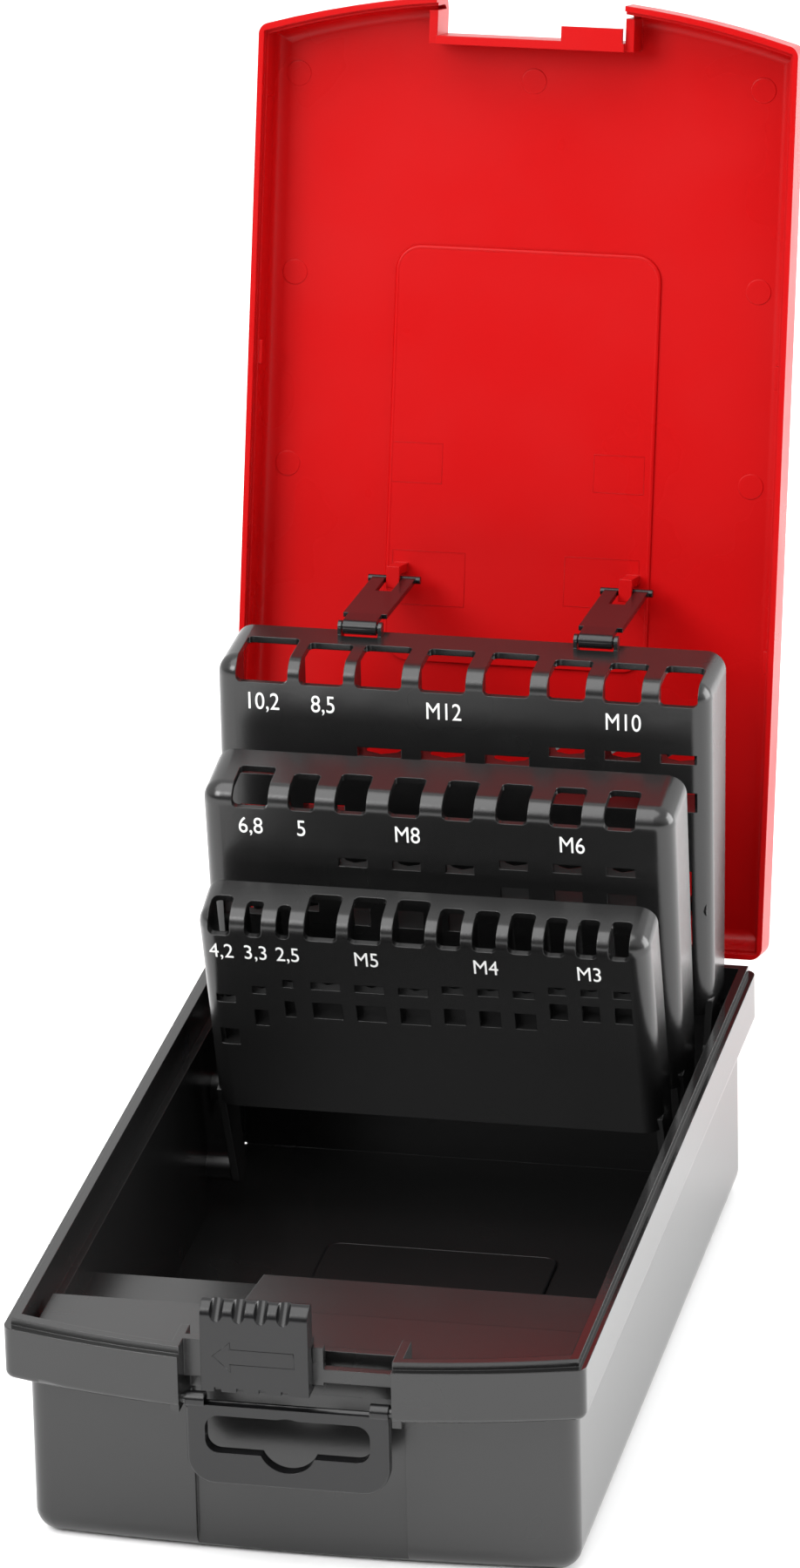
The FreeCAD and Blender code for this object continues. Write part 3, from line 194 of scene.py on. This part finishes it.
def round_end(half: float, near: float, far: float, corner: float) -> list[tuple[float, float]]:
    """Gives the points up one side of a field, round its far end and down the other side.

    Args:
        half: Half the field's width, in millimetres.
        near: Where its sides start.
        far: Where it ends.
        corner: The far corners' radius.

    Returns:
        The points, across from the middle and along.
    """
    points = [(half, near)]
    for x, start in ((half - corner, 0), (corner - half, 90)):
        for step in range(CORNER_STEPS + 1):
            turn = math.radians(start + 90 * step / CORNER_STEPS)
            points.append((x + corner * math.cos(turn), far - corner + corner * math.sin(turn)))
    return [*points, (-half, near)]


def round_bead(points: list[Vector], radius: float, finish: bpy.types.Material,
               closed: bool = True) -> bpy.types.Object:
    """Makes a bead along straight runs.

    Args:
        points: The corners, in metres.
        radius: The bead's radius in millimetres.
        finish: Its material.
        closed: Whether the last corner runs back to the first.

    Returns:
        The bead as a mesh.
    """
    deselect()
    bpy.ops.curve.primitive_nurbs_path_add()
    bead = bpy.context.object
    bead.data.splines.clear()
    path = bead.data.splines.new("POLY")
    path.points.add(len(points) - 1)
    for point, place in zip(path.points, points):
        point.co = (*place, 1)
    path.use_cyclic_u = closed
    bead.data.bevel_depth = radius * MM
    bead.data.bevel_resolution = 3
    bead.data.use_fill_caps = not closed
    bead.data.materials.append(finish)
    take(bead)
    bpy.ops.object.convert(target="MESH")
    return bpy.context.object


# ---------------------------------------------------------------- finishes
class Slot(Enum):
    """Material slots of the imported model."""

    PEBBLE = "black_pebble"
    SMOOTH = "black_smooth"
    LID = "red_lid"
    STEEL = "steel"


@dataclass(frozen=True)
class PolishedZone:
    """The part of a moulding beyond a plane, where the mould's core is polished."""

    axis: str
    start_mm: float
    end_mm: float
    roughness: float


@dataclass(frozen=True)
class MouldedPlastic:
    """Injection-moulded polypropylene with a spark-eroded grain."""

    name: str
    colour: str
    roughness: float
    grain_mm: float
    grain_depth_mm: float
    ior: float = 1.49
    specular: float = 0.5
    edge_mm: float = 0.25
    edge_rays: int = 6
    # How far the gloss drifts as the melt cools, and the scale of that drift, in cells per metre.
    gloss_drift: float = 0.0
    drift_scale: float = 25.0
    drift_between: tuple[float, float] = (0.35, 0.65)
    polished: PolishedZone | None = None

    def material(self) -> bpy.types.Material:
        """Builds the finish.

        Returns:
            The material.
        """
        made = bpy.data.materials.new(self.name)
        made.use_nodes = True
        tree = made.node_tree
        tree.nodes.clear()
        shader = add_node(tree, "ShaderNodeBsdfPrincipled", {
            "Base Color": linear(self.colour), "Roughness": self.roughness, "IOR": self.ior,
            "Specular IOR Level": self.specular,
        })
        place = add_node(tree, "ShaderNodeTexCoord")
        # No moulded edge is sharp: the mould's corners leave a small radius.
        edge = add_node(tree, "ShaderNodeBevel", {
            "samples": self.edge_rays, "Radius": self.edge_mm * MM})
        # Grains are about as wide as grain_mm: one cell of the pattern each.
        grain = add_node(tree, "ShaderNodeTexNoise", {
            "Scale": 1 / (self.grain_mm * MM), "Detail": 2.0,
        }, {"Vector": place.outputs["Object"]})
        bump = add_node(tree, "ShaderNodeBump", {
            "Strength": 1.0, "Distance": self.grain_depth_mm * MM,
        }, {"Height": grain.outputs["Fac"], "Normal": edge.outputs["Normal"]})
        tree.links.new(bump.outputs["Normal"], shader.inputs["Normal"])
        rough = None
        if self.gloss_drift:
            # Melt cools unevenly, so the gloss drifts over some 40 mm.
            drift = add_node(tree, "ShaderNodeTexNoise", {
                "Scale": self.drift_scale, "Detail": 3.0,
            }, {"Vector": place.outputs["Object"]})
            low, high = self.drift_between
            rough = add_node(tree, "ShaderNodeMapRange", {
                "From Min": low, "From Max": high,
                "To Min": self.roughness - self.gloss_drift,
                "To Max": self.roughness + self.gloss_drift,
            }, {"Value": drift.outputs["Fac"]}).outputs["Result"]
        if self.polished:
            rough = self.polish(tree, place.outputs["Object"], rough)
        if rough:
            tree.links.new(rough, shader.inputs["Roughness"])
        end = add_node(tree, "ShaderNodeOutputMaterial")
        tree.links.new(shader.outputs["BSDF"], end.inputs["Surface"])
        return made

    def polish(self, tree: bpy.types.NodeTree, where: bpy.types.NodeSocket,
               rough: bpy.types.NodeSocket) -> bpy.types.NodeSocket:
        """Lowers the roughness beyond a plane, where the mould's core is polished.

        Args:
            tree: The material's nodes.
            where: The place in the model.
            rough: The roughness elsewhere.

        Returns:
            The roughness with the polished zone in it.
        """
        zone = self.polished
        parts = add_node(tree, "ShaderNodeSeparateXYZ", links={"Vector": where})
        share = add_node(tree, "ShaderNodeMapRange", {
            "From Min": zone.start_mm * MM, "From Max": zone.end_mm * MM, "To Min": 0.0, "To Max": 1.0,
        }, {"Value": parts.outputs[zone.axis]})
        mix = add_node(tree, "ShaderNodeMix", {"data_type": "FLOAT"})
        tree.links.new(share.outputs["Result"], mix.inputs["Factor"])
        tree.links.new(rough, mix.inputs["A"])
        mix.inputs["B"].default_value = zone.roughness
        return mix.outputs["Result"]


@dataclass(frozen=True)
class PlainFinish:
    """An even finish without a pattern: printed ink, drawn wire or a backdrop."""

    name: str
    colour: str
    roughness: float
    metallic: float = 0.0
    ior: float = 1.5

    def material(self) -> bpy.types.Material:
        """Builds the finish.

        Returns:
            The material.
        """
        made = bpy.data.materials.new(self.name)
        made.use_nodes = True
        shader = made.node_tree.nodes["Principled BSDF"]
        shader.inputs["Base Color"].default_value = linear(self.colour)
        shader.inputs["Roughness"].default_value = self.roughness
        shader.inputs["Metallic"].default_value = self.metallic
        if not self.metallic:
            shader.inputs["IOR"].default_value = self.ior
        return made


@dataclass
class Finishes:
    """Every finish of the case, built once and handed to the classes below."""

    pebbled_black: bpy.types.Material = field(init=False)
    satin_black: bpy.types.Material = field(init=False)
    red: bpy.types.Material = field(init=False)
    wire: bpy.types.Material = field(init=False)
    ink: bpy.types.Material = field(init=False)
    paper: bpy.types.Material = field(init=False)

    def __post_init__(self) -> None:
        """Builds the materials."""
        # Black polypropylene off an eroded mould: deep, with a broad soft sheen. The right wall is glossy.
        right_wall = PolishedZone("X", start_mm=54.2, end_mm=54.6, roughness=0.10)
        self.pebbled_black = MouldedPlastic(
            "polypropylene_black_grained", "#171717", roughness=0.25, grain_mm=0.9,
            grain_depth_mm=0.008, ior=1.52, gloss_drift=0.03, polished=right_wall).material()
        # The same melt off a polished mould, on the small moving parts.
        self.satin_black = MouldedPlastic(
            "polypropylene_black_satin", "#111112", roughness=0.22, grain_mm=1.4,
            grain_depth_mm=0.004, ior=1.42).material()
        # Red polypropylene: bright pigment under a satin gloss.
        self.red = MouldedPlastic(
            "polypropylene_red_satin", "#aa0709", roughness=0.30, grain_mm=2.2,
            grain_depth_mm=0.006, specular=0.13, edge_mm=0.3, gloss_drift=0.04).material()
        # Drawn steel wire: grey metal with a dull polish.
        self.wire = PlainFinish("steel_drawn_wire", "#9a9a9c", roughness=0.35, metallic=1.0).material()
        # Pad-printed ink: flat, chalky white.
        self.ink = PlainFinish("pad_print_white", "#f4f4f2", roughness=0.55).material()
        # Matt background paper.
        self.paper = PlainFinish("paper_white_matt", "#ffffff", roughness=0.9).material()

    def by_slot(self) -> dict[str, bpy.types.Material]:
        """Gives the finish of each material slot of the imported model.

        Returns:
            The materials, by the slot's name.
        """
        return {
            Slot.PEBBLE.value: self.pebbled_black,
            Slot.SMOOTH.value: self.satin_black,
            Slot.LID.value: self.red,
            Slot.STEEL.value: self.wire,
        }

    def dress(self, nodes: dict[str, bpy.types.Object]) -> None:
        """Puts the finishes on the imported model's parts.

        Args:
            nodes: The parts, by name.
        """
        finishes = self.by_slot()
        for node in nodes.values():
            for slot in node.material_slots:
                name = slot.material.name.split(".")[0]
                slot.material = finishes[name]


# ---------------------------------------------------------------- the banks' printing
@dataclass(frozen=True)
class Legend:
    """One printed size: its words and the middle of them across the bank."""

    words: str
    x: float


@dataclass
class BankPrint:
    """The sizes printed under one bank's slots.

    The bank's face and top are measured from its pivot, and the brow, where the slots turn over the
    top, from the top. All but the lean, in degrees, are in millimetres.
    """

    bank: str
    pivot_y: float
    pivot_z: float
    lean: float
    face: float
    top: float
    brow: float
    legends: list[Legend]
    cap_height: float = 3.9
    below_slots: float = 3.9
    condensed: float = 0.82
    film: float = 0.03
    curve_steps: int = 6

    def face_place(self) -> Matrix:
        """The bank's face as a plane.

        Returns:
            The place whose X runs across the bank, Y up it and Z out of its face.
        """
        lean = math.radians(self.lean)
        up = Vector((0, -math.sin(lean), math.cos(lean)))
        out = Vector((0, -math.cos(lean), -math.sin(lean)))
        start = case_point(0, self.pivot_y, self.pivot_z) + out * (self.face * MM)
        turned = Matrix(((1, 0, 0), tuple(up), tuple(out))).transposed().to_4x4()
        return Matrix.Translation(start) @ turned

    def print_size(self, legend: Legend, ink: bpy.types.Material) -> bpy.types.Object:
        """Prints one size.

        Args:
            legend: The size's words and place.
            ink: The printing ink.

        Returns:
            The printed film.
        """
        deselect()
        bpy.ops.object.text_add()
        words = bpy.context.object
        words.data.body = legend.words
        words.data.size = TYPE_SIZE_MM * MM
        words.data.resolution_u = self.curve_steps
        words.data.extrude = self.film * MM
        words.data.materials.append(ink)
        take(words)
        bpy.ops.object.convert(target="MESH")
        words = bpy.context.object
        xs = [v.co.x for v in words.data.vertices]
        grow = self.cap_height / (TYPE_SIZE_MM * CAPITAL_SHARE)
        middle = (min(xs) + max(xs)) / 2
        height = (self.top - self.brow - self.below_slots - self.cap_height / 2) * MM
        spot = Matrix.Translation((legend.x * MM, height, 0))
        stretch = Matrix.Diagonal((grow * self.condensed, grow, 1, 1))
        centring = Matrix.Translation((-middle, 0, 0))
        return place_mesh(words, self.face_place() @ spot @ stretch @ centring)

    def build(self, ink: bpy.types.Material) -> bpy.types.Object:
        """Prints all of the bank's sizes.

        Args:
            ink: The printing ink.

        Returns:
            The print as one piece.
        """
        films = [self.print_size(legend, ink) for legend in self.legends]
        piece = merge(f"print_{self.bank}", films)
        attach(piece, f"bank_{self.bank}")
        return piece


def bank_prints() -> list[BankPrint]:
    """Gives the three banks' printing.

    Returns:
        The prints, from the back.
    """
    return [
        BankPrint("rear", pivot_y=169.5, pivot_z=38.9, lean=0.0, face=0.0, top=81.8, brow=4.8, legends=[
            Legend("10,2", -41.8), Legend("8,5", -29.3), Legend("M12", -3.7), Legend("M10", 34.0)]),
        BankPrint("middle", pivot_y=159.7, pivot_z=27.9, lean=7.4, face=8.6, top=77.5, brow=4.2, legends=[
            Legend("6,8", -38.9), Legend("5", -28.3), Legend("M8", -6.0), Legend("M6", 28.3)]),
        BankPrint("front", pivot_y=153.1, pivot_z=12.5, lean=16.4, face=8.0, top=75.2, brow=4.8, legends=[
            Legend("4,2", -42.2), Legend("3,3", -35.0), Legend("2,5", -28.3), Legend("M5", -11.8),
            Legend("M4", 13.1), Legend("M3", 34.5)], cap_height=3.8),
    ]


# ---------------------------------------------------------------- the lid
@dataclass
class LidDetails:
    """Fine moulding marks inside the lid."""

    hinge_y: float = 194.6
    hinge_z: float = 45.6
    opened: float = 105.6
    hinge_back: float = 2.8
    inner_height: float = 14.0
    ejectors: tuple[tuple[float, float], ...] = (
        (-51.0, 181.5), (-0.3, 182.0), (48.7, 182.3), (-50.4, 139.4),
        (49.3, 140.0), (-50.6, 98.6), (49.3, 98.9))
    ejector_radius: float = 2.7
    ejector_rise: float = 0.12
    ejector_edge: float = 0.1
    ejector_sides: int = 48
    # Each mould insert leaves a hair line: its left and right, and its near and far side from the
    # hinged wall.
    inserts: tuple[tuple[float, float, float, float], ...] = (
        (-27.0, -11.3, 70.0, 81.5), (10.2, 26.2, 71.5, 82.0),
        (15.7, 26.5, 96.0, 104.0), (-27.9, -17.0, 96.0, 104.5))
    insert_line: float = 0.09
    label_rise: float = 0.6
    label_half: float = 28.0
    label_near: float = 58.0
    label_far: float = 146.0
    label_corner: float = 5.0
    # The edge is rounded from its near corners on. The straps of the shut case pass close above it.
    edge_near: float = 63.0
    edge_radius: float = 0.6
    edge_proud: float = 0.1

    def inner_place(self, x: float, s: float) -> Matrix:
        """A place on the lid's inner face.

        Args:
            x: Millimetres across, from the middle.
            s: Millimetres along, from the hinged wall.

        Returns:
            The place, whose Z points out of the face.
        """
        opened = Matrix.Rotation(-math.radians(self.opened), 4, "X")
        hinge = Matrix.Translation(case_point(0, self.hinge_y, self.hinge_z))
        spot = Matrix.Translation(Vector((x, -self.hinge_back - s, self.inner_height)) * MM)
        return hinge @ opened @ spot @ Matrix.Rotation(math.pi, 4, "X")

    def ejector_marks(self, finish: bpy.types.Material) -> bpy.types.Object:
        """Makes the round marks of the mould's ejector pins.

        Args:
            finish: The lid's plastic.

        Returns:
            The marks as one piece.
        """
        marks = []
        for x, s in self.ejectors:
            deselect()
            bpy.ops.mesh.primitive_cylinder_add(
                vertices=self.ejector_sides, radius=self.ejector_radius * MM,
                depth=2 * self.ejector_rise * MM)
            mark = bpy.context.object
            apply_modifier(mark, "BEVEL", width=self.ejector_edge * MM, segments=2,
                           limit_method="ANGLE")
            place_mesh(mark, self.inner_place(x, s))
            marks.append(mark)
        piece = merge("lid_ejector_marks", marks)
        piece.data.materials.clear()
        piece.data.materials.append(finish)
        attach(piece, "lid")
        return piece

    def field_edge(self, finish: bpy.types.Material) -> bpy.types.Object:
        """Rounds the edge of the raised label field, which catches the light.

        Args:
            finish: The lid's plastic.

        Returns:
            The edge as one bead.
        """
        path = round_end(self.label_half, self.edge_near, self.label_far, self.label_corner)
        rise = Vector((0, 0, self.label_rise - self.edge_radius + self.edge_proud)) * MM
        points = [self.inner_place(x, s) @ rise for x, s in path]
        bead = round_bead(points, self.edge_radius, finish, closed=False)
        bead.name = bead.data.name = "lid_field_edge"
        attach(bead, "lid")
        return bead

    def insert_marks(self, finish: bpy.types.Material) -> bpy.types.Object:
        """Makes the hair lines round the mould's inserts.

        Args:
            finish: The lid's plastic.

        Returns:
            The lines as one piece.
        """
        lines = []
        for left, right, near, far in self.inserts:
            # Inside the label field the lines lie on the field's own raised face.
            on_field = near > self.label_near and max(-left, right) < self.label_half
            rise = (self.label_rise if on_field else 0) * MM
            corners = [(left, near), (right, near), (right, far), (left, far)]
            points = [self.inner_place(x, s) @ Vector((0, 0, rise)) for x, s in corners]
            lines.append(round_bead(points, self.insert_line, finish))
        piece = merge("lid_insert_marks", lines)
        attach(piece, "lid")
        return piece


# ---------------------------------------------------------------- the tub's floor
@dataclass
class FloorField:
    """The rounded edge of the raised field on the tub's floor."""

    half: float = 24.3
    # The sides start inside the wall of the step.
    near: float = 53.6
    far: float = 141.0
    corner: float = 3.0
    top: float = 2.5
    edge_radius: float = 0.3
    edge_proud: float = 0.1

    def build(self, finish: bpy.types.Material) -> bpy.types.Object:
        """Rounds the field's edge, which catches the light.

        Args:
            finish: The tub's plastic.

        Returns:
            The edge as one bead.
        """
        height = self.top - self.edge_radius + self.edge_proud
        points = [case_point(x, y, height)
                  for x, y in round_end(self.half, self.near, self.far, self.corner)]
        bead = round_bead(points, self.edge_radius, finish, closed=False)
        bead.name = bead.data.name = "floor_field_edge"
        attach(bead, "base")
        return bead


# ---------------------------------------------------------------- the latch
@dataclass
class SliderArrow:
    """The raised outline of an arrow on the slider."""

    front_y: float = -5.9
    corners: tuple[tuple[float, float], ...] = (
        (-14.3, 48.1), (-10.9, 51.2), (-10.9, 49.7), (1.6, 49.7), (1.6, 46.5), (-10.9, 46.5),
        (-10.9, 45.0))
    bead_radius: float = 0.22
    sunk: float = 0.08

    def build(self, finish: bpy.types.Material) -> bpy.types.Object:
        """Makes the arrow as a thin round bead.

        Args:
            finish: The slider's plastic.

        Returns:
            The arrow.
        """
        points = [case_point(x, self.front_y + self.sunk, z) for x, z in self.corners]
        bead = round_bead(points, self.bead_radius, finish)
        bead.name = bead.data.name = "slider_arrow"
        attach(bead, "latch_slider")
        return bead


# ---------------------------------------------------------------- studio
@dataclass(frozen=True)
class SoftBox:
    """A rectangular soft light, in metres and watts."""

    name: str
    at: tuple[float, float, float]
    toward: tuple[float, float, float]
    size: tuple[float, float]
    power: float

    def build(self) -> bpy.types.Object:
        """Hangs the light.

        Returns:
            The light.
        """
        deselect()
        bpy.ops.object.light_add(type="AREA", location=self.at)
        lamp = bpy.context.object
        lamp.name = self.name
        lamp.data.shape = "RECTANGLE"
        lamp.data.size, lamp.data.size_y = self.size
        lamp.data.energy = self.power
        aim = Vector(self.toward) - Vector(self.at)
        lamp.rotation_euler = aim.to_track_quat("-Z", "Y").to_euler()
        return lamp


# The middle of the open case, which most lights face.
CASE_MIDDLE = (0.0, 0.0, 0.1)
SOFT_BOXES = (
    SoftBox("key_overhead", at=(-0.3, -0.4, 1.6), toward=CASE_MIDDLE, size=(1.4, 1.4), power=20),
    SoftBox("side_right", at=(1.5, 0.5, 0.5), toward=CASE_MIDDLE, size=(1.2, 1.2), power=34),
    SoftBox("floor_front_left", at=(-0.7, -1.0, 0.9), toward=(-0.15, -0.3, 0.0), size=(0.6, 0.6),
            power=12),
    SoftBox("fill_front", at=(-0.7, -1.5, 1.2), toward=CASE_MIDDLE, size=(0.7, 0.7), power=5),
)


@dataclass
class Studio:
    """White sweep, soft lights and the camera, in metres and degrees."""

    camera_at: tuple[float, float, float] = (0.36612, -1.65737, 0.83441)
    azimuth: float = 12.3633
    elevation: float = 22.6469
    roll: float = -1.2954
    lens_mm: float = 212.5
    sensor_mm: float = 36.0
    clip_m: tuple[float, float] = (0.05, 30.0)
    floor_m: float = 12.0
    # The cove's light in front and behind, how much height counts against depth in it, and between
    # which values of their sum it changes.
    front_white: float = 0.06
    back_white: float = 1.15
    cove_height: float = 1.2
    cove_between: tuple[float, float] = (-0.6, 0.1)

    def camera(self) -> bpy.types.Object:
        """Sets the camera up.

        Returns:
            The camera.
        """
        a, e, r = (math.radians(v) for v in (self.azimuth, self.elevation, self.roll))
        ahead = Vector((-math.sin(a) * math.cos(e), math.cos(a) * math.cos(e), -math.sin(e)))
        right = Vector((math.cos(a), math.sin(a), 0))
        up = right.cross(ahead)
        right, up = (right * math.cos(r) + up * math.sin(r), up * math.cos(r) - right * math.sin(r))
        deselect()
        bpy.ops.object.camera_add()
        camera = bpy.context.object
        camera.name = "camera_front"
        camera.data.sensor_fit = "VERTICAL"
        camera.data.sensor_width = camera.data.sensor_height = self.sensor_mm
        camera.data.lens = self.lens_mm
        camera.data.clip_start, camera.data.clip_end = self.clip_m
        turned = Matrix((tuple(right), tuple(up), tuple(-ahead))).transposed().to_4x4()
        camera.matrix_world = Matrix.Translation(self.camera_at) @ turned
        bpy.context.scene.camera = camera
        return camera

    def floor(self, paper: bpy.types.Material) -> bpy.types.Object:
        """Lays the floor.

        Args:
            paper: Its finish.

        Returns:
            The floor.
        """
        deselect()
        bpy.ops.mesh.primitive_plane_add(size=self.floor_m)
        floor = bpy.context.object
        floor.name = "floor_sweep"
        floor.data.materials.append(paper)
        return floor

    def cove(self) -> bpy.types.World:
        """Makes the surroundings: white behind the case and dark behind the camera.

        Returns:
            The world.
        """
        world = bpy.data.worlds.new("studio_white")
        bpy.context.scene.world = world
        world.use_nodes = True
        tree = world.node_tree
        back = tree.nodes["Background"]
        back.inputs["Color"].default_value = (1, 1, 1, 1)
        way = add_node(tree, "ShaderNodeTexCoord")
        parts = add_node(tree, "ShaderNodeSeparateXYZ", links={"Vector": way.outputs["Generated"]})
        # The inputs share one name, so they go by number: height times its weight, plus depth.
        total = add_node(tree, "ShaderNodeMath", {"operation": "MULTIPLY_ADD"})
        tree.links.new(parts.outputs["Z"], total.inputs[0])
        total.inputs[1].default_value = self.cove_height
        tree.links.new(parts.outputs["Y"], total.inputs[2])
        low, high = self.cove_between
        white = add_node(tree, "ShaderNodeMapRange", {
            "From Min": low, "From Max": high,
            "To Min": self.front_white, "To Max": self.back_white,
        }, {"Value": total.outputs["Value"]})
        tree.links.new(white.outputs["Result"], back.inputs["Strength"])
        return world

    def build(self, paper: bpy.types.Material) -> None:
        """Sets the floor, lights, world and camera.

        Args:
            paper: The floor's finish.
        """
        self.floor(paper)
        self.cove()
        for box in SOFT_BOXES:
            box.build()
        self.camera()
        bpy.context.scene.view_settings.view_transform = "Standard"


# ---------------------------------------------------------------- main
def main() -> None:
    """Builds the case's finishes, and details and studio."""
    logging.basicConfig(level=logging.INFO, format="%(name)s: %(message)s")
    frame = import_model()
    finishes = Finishes()
    finishes.dress(frame["nodes"])
    LOG.info("dressed %d parts", len(frame["nodes"]))
    for bank in bank_prints():
        LOG.info("printed %s", bank.build(finishes.ink).name)
    lid = LidDetails()
    for piece in (lid.ejector_marks(finishes.red), lid.insert_marks(finishes.red),
                  lid.field_edge(finishes.red), FloorField().build(finishes.satin_black),
                  SliderArrow().build(finishes.satin_black)):
        LOG.info("added %s", piece.name)
    Studio().build(finishes.paper)
    LOG.info("set the studio")


if __name__ == "__main__":
    main()
